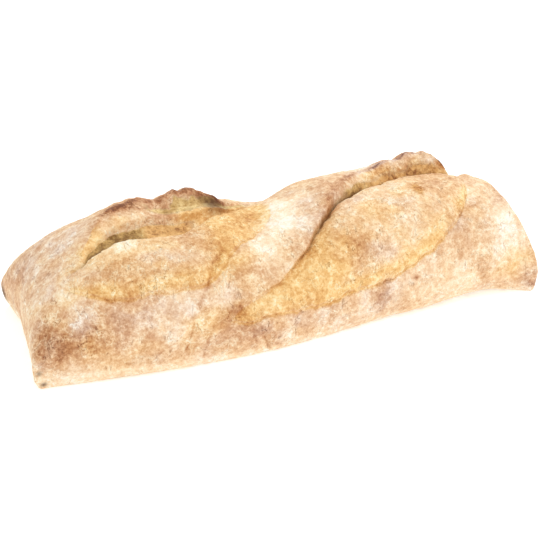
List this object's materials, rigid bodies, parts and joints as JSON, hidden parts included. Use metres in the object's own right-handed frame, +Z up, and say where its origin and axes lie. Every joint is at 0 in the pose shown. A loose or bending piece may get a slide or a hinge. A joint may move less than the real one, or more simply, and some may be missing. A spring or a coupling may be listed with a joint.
{
  "type": "rustic baguette",
  "caption": "Short, wide rustic baguette with diagonal slashes, lifted crust ears, blunt pinched ends and a flat floury base.",
  "frame": {"origin": "middle of the loaf's box, at the level it rests on", "axes": "+X along the loaf, towards the end with the taller ear; -Y is the side that the slashes show on; +Z up"},
  "size_m": [0.274, 0.103, 0.0635],
  "materials": {
    "crust": "matt baked crust: floury pale tan, golden where the slashes opened, brown on the ears"
  },
  "bodies": {
    "root": {"loaf": "crust"}
  },
  "joints": []
}
